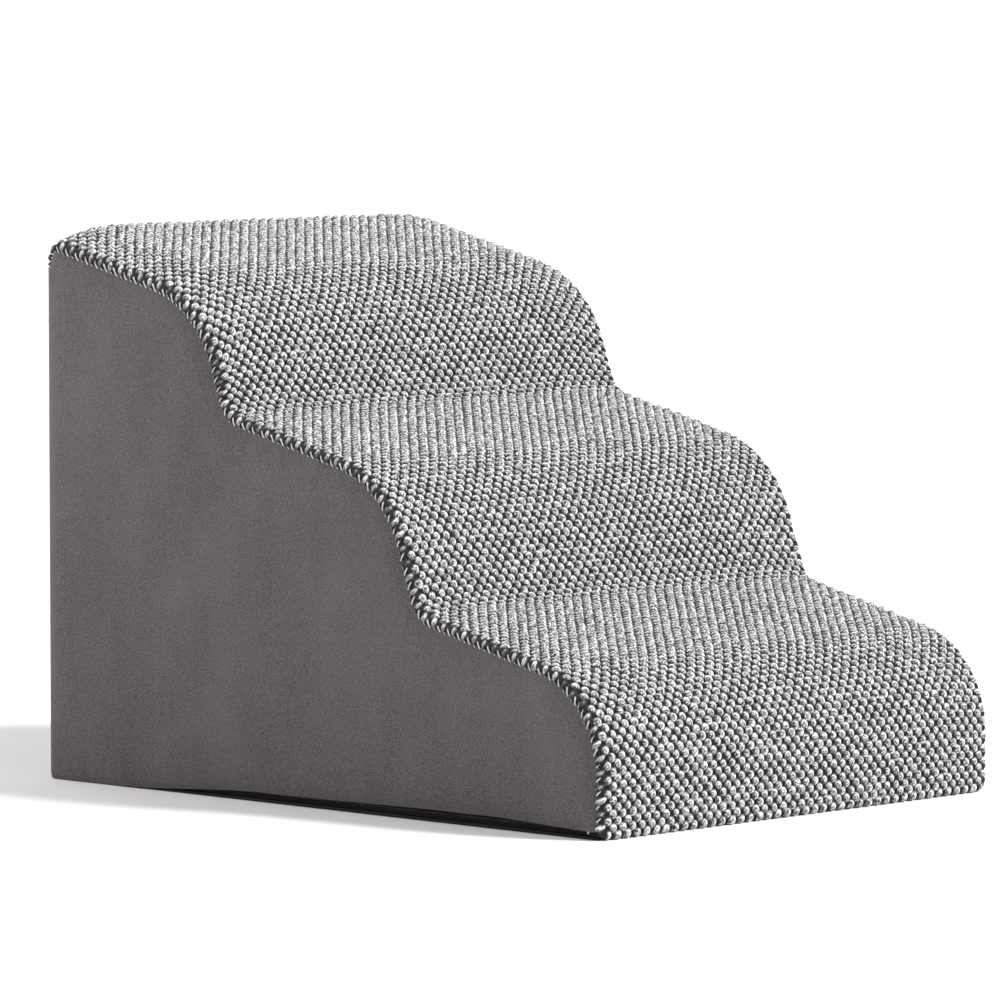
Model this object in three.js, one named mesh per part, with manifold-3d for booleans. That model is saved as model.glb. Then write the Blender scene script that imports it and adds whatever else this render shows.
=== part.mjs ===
// A three-step dog ramp: wave-cut foam inside a zipped fabric cover.
// Millimetres, +Z up. The low front end faces -Y, the tall back end +Y, and the treads run across X.
// The origin is on the floor, in the middle of the footprint.

import * as THREE from 'three';
import { mergeVertices } from 'three/addons/utils/BufferGeometryUtils.js';
import Module from 'manifold-3d';

const wasm = await Module();
wasm.setup();

// Overall size, and the wave that the steps follow
const width = 458;
const length = 617;
const height = 450;
const stepCount = 3;
const stepPitch = 211.5;
const stepRise = 144;
const treadSlope = 13.8; // degrees, falling towards the front
const riserLean = 70.5; // degrees from the floor
const noseRadius = 100;
const frontNoseRadius = 84;
const footRadius = 20;
const backEdgeRadius = 14;
const cornerSegments = 7;

// How far the knit rolls down towards the two side seams
const rollWidth = 70;
const rollDrop = { treads: [13, 2.5, 4], risers: [0, 0], front: 1 };
const rollStations = [0, 5, 15, 30, 50, rollWidth];

// Cover and filling
const gap = 0.3;
const knitThickness = 5;
const suedeThickness = 3;
const bottomThickness = 2.5;
const comfortThickness = 25;
const knitLift = 1; // the knit stops just above the floor
const hemHeight = 10.8;
const hemTop = 18;
const backSeamHeight = 418;

// Zip, measured inwards from the side and back faces of the cover
const tapeInset = 6.9;
const tapeThickness = 0.8;
const coilInset = 4.6;
const coilThickness = 2;
const coilLowZ = 4.2;
const coilHighZ = 7.2;
const coilWidth = 2;
const zipTopZ = 17.7;
const zipCornerRadius = 8;
const rebateInset = 9.8;
const rebateTop = 19;
const chainStartY = -288.4;
const stopLength = 2;
const tabLength = 9;
const tabThickness = 1;

// Slider and pull
const sliderY = -279;
const sliderLength = 11;
const sliderHeight = 7.4;
const plateThickness = 1;
const outerPlateInset = 3.2;
const innerPlateInset = 8.2;
const webThickness = 0.5;
const webLength = 4.4;
const bridgeLength = 7;
const bridgeWidth = 1.4;
const bridgeHeight = 2.3;
const bridgeWall = 0.7;
const pullInset = 1.9;
const pullThickness = 1;
const pullLength = 20;
const pullWidth = 4.6;
const pullBar = 1;
const pullEyeLength = 4.1;

const halfWidth = width / 2;
const halfLength = length / 2;
const backEdgeTurn = THREE.MathUtils.degToRad(90 + treadSlope);
// The top tread's line meets the back face a little above the rounded edge.
const topLineZ = height + backEdgeRadius * (Math.tan(backEdgeTurn / 2) - 1);
const coverX = halfWidth - suedeThickness;
const coverBackY = halfLength - suedeThickness;
const seamInset = knitThickness + gap;
const foamX = coverX - gap;
const foamBackY = halfLength - seamInset;
const foamFloor = bottomThickness + gap;
const sliderZ = (coilLowZ + coilWidth + coilHighZ) / 2;
const coreInset = seamInset + comfortThickness + gap;
const beyond = 20; // how far a cutting body reaches past what it cuts

function material(colour, roughness, metalness = 0) {
  return new THREE.MeshStandardMaterial({ color: colour, roughness, metalness });
}

const knit = material(0x9a9a9c, 0.95);
const suede = material(0x625d5b, 0.9);
const gripFabric = material(0x18181a, 0.8);
const blackTape = material(0x141415, 0.85);
const blackNylon = material(0x1c1c1e, 0.5);
const blackMetal = material(0x2a2a2c, 0.35, 0.9);
const denseFoam = material(0xe8e2cf, 0.95);
const softFoam = material(0xd9e2ea, 0.95);

// ---- solids -------------------------------------------------------------------------------

// A closed geometry as a manifold, with its corners merged.
function solid(geometry) {
  const bare = geometry.clone();
  bare.deleteAttribute('normal');
  bare.deleteAttribute('uv');
  const merged = mergeVertices(bare, 1e-4);
  const vertProperties = new Float32Array(merged.attributes.position.array);
  const triVerts = new Uint32Array(merged.index.array);
  return new wasm.Manifold(new wasm.Mesh({ numProp: 3, vertProperties, triVerts }));
}

function toGeometry(body) {
  const mesh = body.getMesh();
  const geometry = new THREE.BufferGeometry();
  geometry.setAttribute('position', new THREE.BufferAttribute(mesh.vertProperties, 3));
  geometry.setIndex(new THREE.BufferAttribute(mesh.triVerts, 1));
  geometry.computeVertexNormals();
  return geometry;
}

// A box between two opposite corners.
function block(low, high) {
  const size = high.map((value, axis) => value - low[axis]);
  const geometry = new THREE.BoxGeometry(...size);
  geometry.translate(...high.map((value, axis) => (value + low[axis]) / 2));
  return geometry;
}

function piece(name, shape, finish) {
  const geometry = shape.isBufferGeometry ? shape : toGeometry(shape);
  const mesh = new THREE.Mesh(geometry, finish);
  mesh.name = name;
  return mesh;
}

// ---- the wave -----------------------------------------------------------------------------

// Each edge of the side view is a straight line: a point, a heading in degrees from +Y, how far
// it moves inwards, and the radius that rounds the corner where it begins.
// They run anticlockwise: along the floor to the back, up the back, and down the steps.
function waveEdges(depth, roll, floorZ, backY) {
  const edges = [
    { y: 0, z: floorZ, heading: 0, inset: 0, radius: 0 },
    { y: backY, z: 0, heading: 90, inset: 0, radius: 0 },
  ];
  for (let step = 0; step < stepCount; step += 1) {
    edges.push({
      y: halfLength - step * stepPitch,
      z: topLineZ - step * stepRise,
      heading: 180 + treadSlope,
      inset: depth + roll * rollDrop.treads[step],
      radius: step === 0 ? backEdgeRadius : footRadius,
    });
    const isFront = step === stepCount - 1;
    edges.push({
      y: isFront ? -halfLength : halfLength - (step + 1) * stepPitch,
      z: topLineZ - (step + 1) * stepRise,
      heading: isFront ? 270 : 180 + riserLean,
      inset: depth + roll * (isFront ? rollDrop.front : rollDrop.risers[step]),
      radius: isFront ? frontNoseRadius : noseRadius,
    });
  }
  return edges;
}

// Where an edge's inset line meets the next one's.
function meetingPoint(first, second) {
  const lines = [first, second].map(({ y, z, heading, inset }) => {
    const angle = THREE.MathUtils.degToRad(heading);
    const along = new THREE.Vector2(Math.cos(angle), Math.sin(angle));
    const point = new THREE.Vector2(y - inset * along.y, z + inset * along.x);
    return { along, point };
  });
  const [a, b] = lines;
  const between = b.point.clone().sub(a.point);
  const reach = between.cross(b.along) / a.along.cross(b.along);
  return a.point.clone().addScaledVector(a.along, reach);
}

// The side view as points, with every rounded corner cut into the same number of segments,
// so that two outlines of different depth match point for point.
function waveOutline(depth, roll, floorZ, backY) {
  const edges = waveEdges(depth, roll, floorZ, backY);
  const points = [];
  edges.forEach((edge, i) => {
    const before = edges.at(i - 1);
    const corner = meetingPoint(before, edge);
    if (edge.radius === 0) {
      points.push(corner);
      return;
    }
    const turn = THREE.MathUtils.degToRad(edge.heading - before.heading);
    const convex = turn > 0;
    const radius = Math.max(edge.radius + (convex ? -depth : depth), 2);
    const run = radius * Math.tan(Math.abs(turn) / 2);
    const start = THREE.MathUtils.degToRad(before.heading);
    const side = convex ? 1 : -1;
    const from = corner.clone().sub(new THREE.Vector2(Math.cos(start), Math.sin(start)).multiplyScalar(run));
    const centre = from.clone().add(
      new THREE.Vector2(-Math.sin(start), Math.cos(start)).multiplyScalar(side * radius),
    );
    for (let k = 0; k <= cornerSegments; k += 1) {
      const angle = start + (turn * k) / cornerSegments;
      const out = new THREE.Vector2(Math.sin(angle), -Math.cos(angle)).multiplyScalar(side * radius);
      points.push(centre.clone().add(out));
    }
  });
  return points;
}

// A closed body through matching outlines placed at stations along X.
function loft(stations) {
  const count = stations[0].outline.length;
  const positions = stations.flatMap(({ x, outline }) => outline.flatMap((p) => [x, p.x, p.y]));
  const index = [];
  for (let s = 0; s < stations.length - 1; s += 1) {
    for (let i = 0; i < count; i += 1) {
      const a = s * count + i;
      const b = s * count + ((i + 1) % count);
      index.push(a, b, b + count, a, b + count, a + count);
    }
  }
  const last = (stations.length - 1) * count;
  THREE.ShapeUtils.triangulateShape(stations[0].outline, []).forEach(([a, b, c]) => {
    index.push(c, b, a);
  });
  THREE.ShapeUtils.triangulateShape(stations.at(-1).outline, []).forEach(([a, b, c]) => {
    index.push(last + a, last + b, last + c);
  });
  const geometry = new THREE.BufferGeometry();
  geometry.setAttribute('position', new THREE.Float32BufferAttribute(positions, 3));
  geometry.setIndex(index);
  return geometry;
}

// The stepped body at some depth below the cover's outer face, rolling off towards both sides.
function waveBody(depth, reachX, floorZ, backY) {
  const offsets = rollStations.map((distance) => Math.min(halfWidth - distance, reachX));
  offsets[0] = reachX;
  const half = [...new Set(offsets)];
  const all = [...half.map((x) => -x), ...half.reverse()];
  const stations = all.map((x) => {
    const distance = Math.max(halfWidth - Math.abs(x), 0);
    const roll = (1 - Math.min(distance / rollWidth, 1)) ** 2;
    return { x, outline: waveOutline(depth, roll, floorZ, backY) };
  });
  return solid(loft(stations));
}

// ---- filling ------------------------------------------------------------------------------

// What the zip needs left clear along the lower edge of the two sides and the back.
function zipRebate() {
  const x = halfWidth - rebateInset;
  const y = halfLength - rebateInset;
  const left = solid(block([-halfWidth - beyond, -halfLength, -beyond], [-x, halfLength, rebateTop]));
  const right = solid(block([x, -halfLength, -beyond], [halfWidth + beyond, halfLength, rebateTop]));
  const back = solid(block([-halfWidth, y, -beyond], [halfWidth, halfLength + beyond, rebateTop]));
  return left.add(right).add(back);
}

function comfortLayer() {
  const outer = waveBody(seamInset, foamX, foamFloor, foamBackY);
  const inner = waveBody(seamInset + comfortThickness, halfWidth + 1, -beyond, length);
  return piece('comfort_layer', outer.subtract(inner).subtract(zipRebate()), softFoam);
}

// Three slabs glued on top of each other, split level with the foot of each riser.
function coreSlabs() {
  const core = waveBody(coreInset, foamX, foamFloor, foamBackY).subtract(zipRebate());
  const edges = waveEdges(coreInset, 0, foamFloor, foamBackY);
  const lowFoot = meetingPoint(edges[5], edges[6]).y;
  const highFoot = meetingPoint(edges[3], edges[4]).y;
  const levels = [
    ['core_slab_low', 0, lowFoot],
    ['core_slab_middle', lowFoot + gap, highFoot],
    ['core_slab_high', highFoot + gap, height],
  ];
  return levels.map(([name, low, high]) => {
    const layer = solid(block([-width, -length, low], [width, length, high]));
    return piece(name, core.intersect(layer), denseFoam);
  });
}

// ---- cover --------------------------------------------------------------------------------

function treadPanel() {
  const outer = waveBody(0, halfWidth, knitLift, halfLength);
  const innerBackY = halfLength - knitThickness;
  const inner = waveBody(knitThickness, halfWidth + 1, -beyond, innerBackY);
  const belowSeam = block([-width, innerBackY - gap, -beyond], [width, length, backSeamHeight]);
  return piece('tread_panel', outer.subtract(inner).subtract(solid(belowSeam)), knit);
}

// A suede side: the side view cut from sheet, out to the back under the knit's turned-down end,
// with a thicker turned hem above the zip.
function sidePanel(name, side) {
  const outline = waveOutline(seamInset, 1, hemHeight, foamBackY);
  const sheet = loft([
    { x: coverX, outline },
    { x: halfWidth, outline },
  ]);
  const frontY = Math.min(...outline.map((p) => p.x));
  const hemX = halfWidth - tapeInset + gap;
  const heelLow = [coverX, foamBackY - gap, hemHeight];
  const heel = block(heelLow, [halfWidth, halfLength, backSeamHeight - gap]);
  const hem = block([hemX, frontY, hemHeight], [halfWidth, halfLength, hemTop]);
  const panel = solid(sheet).add(solid(heel)).add(solid(hem));
  return piece(name, side < 0 ? mirrored(panel) : panel, suede);
}

// The same body on the other side of the ramp.
function mirrored(body) {
  const geometry = toGeometry(body);
  geometry.scale(-1, 1, 1);
  const index = geometry.index.array;
  for (let i = 0; i < index.length; i += 3) {
    [index[i], index[i + 1]] = [index[i + 1], index[i]];
  }
  return solid(geometry);
}

function backPanel() {
  const hemX = halfWidth - tapeInset;
  const hemY = halfLength - tapeInset + gap;
  const sheetLow = hemTop + gap;
  const sheet = block([-foamX, coverBackY, sheetLow], [foamX, halfLength, backSeamHeight - gap]);
  const hem = block([-hemX, hemY, hemHeight], [hemX, halfLength, sheetLow + gap]);
  return piece('back_panel', solid(sheet).add(solid(hem)), suede);
}

function bottomPanel() {
  const frontY = -halfLength + rollDrop.front + seamInset;
  const panel = block([-coverX, frontY, 0], [coverX, coverBackY, bottomThickness]);
  return piece('bottom_panel', panel, gripFabric);
}

// ---- zip ----------------------------------------------------------------------------------

// A U-shaped band seen from above, running along one side, across the back and along the other.
function zipBand(inset, thickness, startY, lowZ, highZ) {
  const shape = new THREE.Shape();
  const x = halfWidth - inset;
  const y = halfLength - inset;
  const outer = zipCornerRadius;
  const inner = zipCornerRadius - thickness;
  shape.moveTo(x, startY);
  shape.absarc(x - outer, y - outer, outer, 0, Math.PI / 2);
  shape.absarc(-x + outer, y - outer, outer, Math.PI / 2, Math.PI);
  shape.lineTo(-x, startY);
  shape.lineTo(-x + thickness, startY);
  shape.absarc(-x + outer, y - outer, inner, Math.PI, Math.PI / 2, true);
  shape.absarc(x - outer, y - outer, inner, Math.PI / 2, 0, true);
  shape.lineTo(x - thickness, startY);
  const band = new THREE.ExtrudeGeometry(shape, {
    depth: highZ - lowZ,
    bevelEnabled: false,
    curveSegments: 6,
  });
  return band.translate(0, 0, lowZ);
}

function zipChain() {
  const coilTop = coilLowZ + coilWidth;
  const tapeStart = chainStartY - stopLength - gap - tabLength;
  return [
    piece('zip_tape_lower', zipBand(tapeInset, tapeThickness, tapeStart, foamFloor, coilTop), blackTape),
    piece('zip_tape_upper', zipBand(tapeInset, tapeThickness, tapeStart, coilHighZ, zipTopZ), blackTape),
    piece('zip_coil_lower', zipBand(coilInset, coilThickness, chainStartY, coilLowZ, coilTop), blackNylon),
    piece(
      'zip_coil_upper',
      zipBand(coilInset, coilThickness, chainStartY, coilHighZ, coilHighZ + coilWidth),
      blackNylon,
    ),
  ];
}

// A metal stop clamped at each front end of the chain, and a fabric tab over the tape's end.
function zipEnd(side, label) {
  const stopY = chainStartY - gap - stopLength;
  const stopX = side * (halfWidth - coilInset - coilThickness / 2);
  const stop = new THREE.BoxGeometry(coilThickness, stopLength, 2 * coilWidth + 1);
  stop.translate(stopX, stopY + stopLength / 2, sliderZ);
  const tabX = side * (halfWidth - tapeInset + gap + tabThickness / 2);
  const tabLow = foamFloor + gap;
  const tab = new THREE.BoxGeometry(tabThickness, tabLength - gap, hemHeight - gap - tabLow);
  tab.translate(tabX, stopY - gap - (tabLength - gap) / 2, (tabLow + hemHeight - gap) / 2);
  return [piece(`zip_stop_${label}`, stop, blackMetal), piece(`zip_end_tab_${label}`, tab, blackTape)];
}

// A plate of the slider seen from the side of the ramp: square tail, rounded and wider nose.
function sliderPlate() {
  const shape = new THREE.Shape();
  const tail = sliderHeight * 0.38;
  const nose = sliderHeight / 2;
  const noseRound = nose * 0.8;
  shape.moveTo(sliderLength / 2, -tail);
  shape.lineTo(sliderLength / 2, tail);
  shape.lineTo(-sliderLength / 2 + noseRound, nose);
  shape.quadraticCurveTo(-sliderLength / 2, nose, -sliderLength / 2, 0);
  shape.quadraticCurveTo(-sliderLength / 2, -nose, -sliderLength / 2 + noseRound, -nose);
  return new THREE.ExtrudeGeometry(shape, {
    depth: plateThickness,
    bevelEnabled: false,
    curveSegments: 5,
  });
}

// The bridge over the outer plate, a half loop seen from above.
function sliderBridge() {
  const shape = new THREE.Shape();
  const half = bridgeLength / 2;
  const leg = 0.9;
  const round = bridgeHeight - bridgeWall;
  const sink = 0.2;
  shape.moveTo(-half, -sink);
  shape.lineTo(-half, round);
  shape.lineTo(-half + bridgeWall, bridgeHeight);
  shape.lineTo(half - bridgeWall, bridgeHeight);
  shape.lineTo(half, round);
  shape.lineTo(half, -sink);
  shape.lineTo(half - leg, -sink);
  shape.lineTo(half - leg, round);
  shape.lineTo(-half + leg, round);
  shape.lineTo(-half + leg, -sink);
  return new THREE.ExtrudeGeometry(shape, { depth: bridgeWidth, bevelEnabled: false });
}

// Turns an extrusion drawn with Y along the zip and Z up so that it is raised along +X.
function raiseAlongX(geometry) {
  const turn = new THREE.Matrix4().makeBasis(
    new THREE.Vector3(0, 1, 0),
    new THREE.Vector3(0, 0, 1),
    new THREE.Vector3(1, 0, 0),
  );
  return geometry.applyMatrix4(turn);
}

function slider() {
  const place = (inset) => halfWidth - inset - plateThickness;
  const outer = raiseAlongX(sliderPlate()).translate(place(outerPlateInset), 0, 0);
  const inner = raiseAlongX(sliderPlate()).translate(place(innerPlateInset), 0, 0);
  const webX = [place(innerPlateInset) + plateThickness / 2, place(outerPlateInset) + plateThickness / 2];
  const webY = [-sliderLength / 2 + 0.3, -sliderLength / 2 + 0.3 + webLength];
  const web = block([webX[0], webY[0], -webThickness / 2], [webX[1], webY[1], webThickness / 2]);
  const bridge = sliderBridge().rotateX(Math.PI).rotateZ(Math.PI / 2);
  bridge.translate(halfWidth - outerPlateInset, 0, bridgeWidth / 2);
  const body = [inner, web, bridge].reduce((sum, part) => sum.add(solid(part)), solid(outer));
  const mesh = piece('zip_slider_body', body, blackMetal);
  mesh.position.set(0, sliderY, sliderZ);
  return mesh;
}

// The pull lies flat behind the bridge: a bar through the bridge, an eye, and a rounded leaf.
function pull() {
  const shape = new THREE.Shape();
  const half = pullWidth / 2;
  const round = half * 0.8;
  shape.moveTo(-pullBar / 2, -half);
  shape.lineTo(pullLength - round, -half);
  shape.quadraticCurveTo(pullLength, -half, pullLength, 0);
  shape.quadraticCurveTo(pullLength, half, pullLength - round, half);
  shape.lineTo(-pullBar / 2, half);
  const eye = new THREE.Path();
  const eyeHalf = bridgeWidth / 2 + gap;
  eye.moveTo(pullBar / 2, -eyeHalf);
  eye.lineTo(pullBar / 2, eyeHalf);
  eye.lineTo(pullBar / 2 + pullEyeLength, eyeHalf);
  eye.lineTo(pullBar / 2 + pullEyeLength, -eyeHalf);
  shape.holes.push(eye);
  const leaf = new THREE.ExtrudeGeometry(shape, {
    depth: pullThickness,
    bevelEnabled: false,
    curveSegments: 5,
  });
  const mesh = piece('zip_pull', raiseAlongX(leaf), blackMetal);
  mesh.position.set(halfWidth - pullInset - pullThickness, sliderY, sliderZ);
  return mesh;
}

// ---- the ramp -----------------------------------------------------------------------------

const ramp = new THREE.Group();
ramp.add(...coreSlabs());
ramp.add(comfortLayer());
ramp.add(treadPanel());
ramp.add(sidePanel('left_side_panel', -1));
ramp.add(sidePanel('right_side_panel', 1));
ramp.add(backPanel());
ramp.add(bottomPanel());
ramp.add(...zipChain());
ramp.add(...zipEnd(-1, 'left'));
ramp.add(...zipEnd(1, 'right'));
ramp.add(slider());
ramp.add(pull());

export default ramp;
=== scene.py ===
import math

import bmesh
import bpy
import numpy as np
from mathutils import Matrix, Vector


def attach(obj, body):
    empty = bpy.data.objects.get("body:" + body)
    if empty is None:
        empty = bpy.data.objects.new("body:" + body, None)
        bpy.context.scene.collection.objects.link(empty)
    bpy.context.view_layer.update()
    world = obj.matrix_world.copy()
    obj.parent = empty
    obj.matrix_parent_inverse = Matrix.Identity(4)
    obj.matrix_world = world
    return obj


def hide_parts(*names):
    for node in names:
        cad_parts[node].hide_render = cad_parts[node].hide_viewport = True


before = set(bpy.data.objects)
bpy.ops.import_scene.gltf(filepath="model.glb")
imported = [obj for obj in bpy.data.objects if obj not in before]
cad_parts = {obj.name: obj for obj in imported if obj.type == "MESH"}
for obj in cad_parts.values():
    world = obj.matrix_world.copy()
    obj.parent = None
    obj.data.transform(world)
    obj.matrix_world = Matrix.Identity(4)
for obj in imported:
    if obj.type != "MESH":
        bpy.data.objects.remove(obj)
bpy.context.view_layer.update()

bodyRamp = "ramp"
mm = 0.001

# The ramp's side view, in millimetres: three sloping treads, two leaning risers, a front wall.
wave = {
    "halfWidth": 229.0,
    "halfLength": 308.5,
    "height": 450.0,
    "going": 211.5,
    "rise": 144.0,
    "treadSlope": 13.8,
    "riserLean": 70.5,
    "noseRadius": 100.0,
    "frontNoseRadius": 84.0,
    "footRadius": 20.0,
    "backEdgeRadius": 14.0,
    "floorEdgeRadius": 4.5,
    "treadDrops": (13.0, 2.5, 4.0),
    "frontDrop": 1.0,
    "rollWidth": 70.0,
    "underside": 0.3,
    "leastRadius": 2.0,
    "arcSteps": 48,
}


# Points are in millimetres; faces are rows of indexes
def makePiece(name, points, faces, materials):
    mesh = bpy.data.meshes.new(name)
    mesh.from_pydata((np.asarray(points) * mm).tolist(), [], [list(f) for f in faces])
    mesh.update()
    mesh.shade_smooth()
    for material in materials:
        mesh.materials.append(material)
    piece = bpy.data.objects.new(name, mesh)
    bpy.context.scene.collection.objects.link(piece)
    return piece


# Quads between neighbours on a rows by columns grid; closed joins the last column to the first
def gridFaces(rows, columns, closed=False, flipped=False):
    last = columns if closed else columns - 1
    r, c = np.meshgrid(np.arange(rows - 1), np.arange(last), indexing="ij")
    a = r * columns + c
    b = r * columns + (c + 1) % columns
    quads = np.stack([a, b, b + columns, a + columns], axis=-1).reshape(-1, 4)
    return quads[:, ::-1] if flipped else quads


# 0 below low, 1 above high, and 3t^2 - 2t^3 between
def smoothStep(low, high, value):
    t = np.clip((value - low) / (high - low), 0, 1)
    return t * t * (3 - 2 * t)


# Edges from the floor at the front, up over the steps, to the back wall: each has a point, a
# heading in degrees, its inset and the radius of the corner before it
def waveCorners(depth, roll):
    half, going, rise = wave["halfLength"], wave["going"], wave["rise"]
    slope = wave["treadSlope"]
    slopeAngle = math.radians(slope)
    edge = wave["backEdgeRadius"]
    # the rounded back edge tops out at the full height
    topLine = wave["height"] - edge + (edge + edge * math.sin(slopeAngle)) / math.cos(slopeAngle)
    edges = [
        (-half, wave["underside"], 180, depth, 0),
        (-half, 0, 90, depth + roll * wave["frontDrop"], wave["floorEdgeRadius"]),
    ]
    for step in (2, 1, 0):
        y, z = half - step * going, topLine - step * rise
        radius = wave["frontNoseRadius"] if step == 2 else wave["noseRadius"]
        edges.append((y, z, slope, depth + roll * wave["treadDrops"][step], radius))
        if step > 0:
            edges.append((y, z, wave["riserLean"], depth, wave["footRadius"]))
    edges.append((half, 0, -90, depth, edge))
    return edges


# The outline as a dense polyline (y, z); an edge's line is its own moved inwards by its inset, and
# each corner is an arc that touches both lines
def waveLine(depth, roll, firstY, lastZ):
    edges = waveCorners(depth, roll)
    lines = []
    for y, z, heading, inset, radius in edges:
        angle = math.radians(heading)
        along = np.array([math.cos(angle), math.sin(angle)])
        inward = np.array([along[1], -along[0]])
        lines.append((np.array([y, z]) + inward * inset, along, angle, radius))
    points = [np.array([[firstY, lines[0][0][1]]])]
    for before, after in zip(lines[:-1], lines[1:]):
        gap = after[0] - before[0]
        cross = before[1][0] * after[1][1] - before[1][1] * after[1][0]
        reach = (gap[0] * after[1][1] - gap[1] * after[1][0]) / cross
        corner = before[0] + before[1] * reach
        turn = after[2] - before[2]
        convex = turn < 0
        radius = max(after[3] + (-depth if convex else depth), wave["leastRadius"])
        start = corner - before[1] * radius * math.tan(abs(turn) / 2)
        side = 1 if convex else -1
        inward = np.array([before[1][1], -before[1][0]])
        centre = start + inward * radius * side
        angles = before[2] + turn * np.linspace(0, 1, wave["arcSteps"])
        out = np.stack([-np.sin(angles), np.cos(angles)], axis=1) * radius * side
        points.append(centre + out)
    points.append(np.array([[lines[-1][0][0], lastZ]]))
    return np.concatenate(points)


# How far the roll towards the sides has come: (1 - distance from the side / roll width) squared
def rollAt(x):
    distance = np.clip((wave["halfWidth"] - np.abs(x)) / wave["rollWidth"], 0, 1)
    return (1 - distance) ** 2


# Running length at each point of a polyline
def lengthsAlong(points):
    return np.concatenate([[0], np.cumsum(np.linalg.norm(np.diff(points, axis=0), axis=1))])


cameraPlan = {
    "azimuth": -46.55,
    "elevation": 4.4,
    "distance": 5.79,
    "aimHeight": 0.225,
    "lens": 258.3,
    "shiftX": -0.0144,
    "shiftY": 0.0075,
    "farthest": 500,
}


# The camera stands back from the aim point along (sin a cos e, -cos a cos e, sin e)
def makeCamera():
    a, e = math.radians(cameraPlan["azimuth"]), math.radians(cameraPlan["elevation"])
    back = Vector((math.sin(a) * math.cos(e), -math.cos(a) * math.cos(e), math.sin(e)))
    data = bpy.data.cameras.new("studioCamera")
    data.lens = cameraPlan["lens"]
    data.shift_x, data.shift_y = cameraPlan["shiftX"], cameraPlan["shiftY"]
    data.clip_end = cameraPlan["farthest"]
    camera = bpy.data.objects.new("studioCamera", data)
    camera.location = Vector((0, 0, cameraPlan["aimHeight"])) + back * cameraPlan["distance"]
    camera.rotation_euler = back.to_track_quat("Z", "Y").to_euler()
    bpy.context.scene.collection.objects.link(camera)
    bpy.context.scene.camera = camera


lightPlan = {
    "keyFrom": (0.34, -0.64, 0.76),
    "keyStrength": 3.5,
    "keySoftness": 12.0,
    "backFrom": (0.2, 0.9, 0.8),
    "backStrength": 0.3,
    "backSoftness": 36.0,
    "sidePlace": (-0.95, 0.95, 1.35),
    "sideAim": (-0.229, 0.15, 0.3),
    "sidePower": 10.0,
    "sideSize": 0.7,
    "sideColor": (1.0, 0.965, 0.92),
    "skyStrength": 0.58,
    "skyColor": (1.0, 0.995, 0.99, 1),
}


def addLamp(name, kind, place, aim, power):
    data = bpy.data.lights.new(name, kind)
    data.energy = power
    lamp = bpy.data.objects.new(name, data)
    lamp.location = place
    lamp.rotation_euler = (Vector(place) - Vector(aim)).to_track_quat("Z", "Y").to_euler()
    bpy.context.scene.collection.objects.link(lamp)
    return data


def makeLight():
    plan = lightPlan
    key = addLamp("keyLight", "SUN", plan["keyFrom"], (0, 0, 0), plan["keyStrength"])
    key.angle = math.radians(plan["keySoftness"])
    back = addLamp("backLight", "SUN", plan["backFrom"], (0, 0, 0), plan["backStrength"])
    back.angle = math.radians(plan["backSoftness"])
    side = addLamp("sideLight", "AREA", plan["sidePlace"], plan["sideAim"], plan["sidePower"])
    side.size = plan["sideSize"]
    side.color = plan["sideColor"]
    world = bpy.data.worlds.new("softWhite")
    world.use_nodes = True
    sky = world.node_tree.nodes["Background"]
    sky.inputs["Color"].default_value = plan["skyColor"]
    sky.inputs["Strength"].default_value = plan["skyStrength"]
    bpy.context.scene.world = world
    bpy.context.scene.view_settings.view_transform = "Standard"


makeCamera()
makeLight()
print("camera and lights set")


# A node with its settings and its inputs, which are numbers, colours or other nodes' outputs
def addNode(tree, kind, values=None, **settings):
    node = tree.nodes.new(kind)
    for name, setting in settings.items():
        setattr(node, name, setting)
    for name, value in (values or {}).items():
        if isinstance(value, bpy.types.NodeSocket):
            tree.links.new(value, node.inputs[name])
        else:
            node.inputs[name].default_value = value
    return node


def mathNode(tree, operation, first, second=0.0, third=0.0):
    node = addNode(tree, "ShaderNodeMath", {0: first, 1: second, 2: third}, operation=operation)
    return node.outputs[0]


def mixColors(tree, share, first, second):
    node = tree.nodes.new("ShaderNodeMix")
    node.data_type = "RGBA"
    for index, value in ((0, share), (6, first), (7, second)):
        if isinstance(value, bpy.types.NodeSocket):
            tree.links.new(value, node.inputs[index])
        else:
            node.inputs[index].default_value = value
    return node.outputs[2]


def remap(tree, value, low, high, newLow=0.0, newHigh=1.0, kind="SMOOTHSTEP"):
    node = addNode(tree, "ShaderNodeMapRange", {0: value, 1: low, 2: high, 3: newLow, 4: newHigh})
    node.interpolation_type = kind
    return node.outputs[0]


# A shader group with float or vector inputs (name, kind, value) and outputs (name, kind)
def newGroup(name, inputs, outputs):
    tree = bpy.data.node_groups.new(name, "ShaderNodeTree")
    for label, kind, value in inputs:
        socket = tree.interface.new_socket(label, in_out="INPUT", socket_type=kind)
        if value is not None:
            socket.default_value = value
    for label, kind in outputs:
        tree.interface.new_socket(label, in_out="OUTPUT", socket_type=kind)
    return tree, tree.nodes.new("NodeGroupInput"), tree.nodes.new("NodeGroupOutput")


def waveOf(tree, value, frequency):
    return mathNode(tree, "SINE", mathNode(tree, "MULTIPLY", value, frequency))


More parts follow.
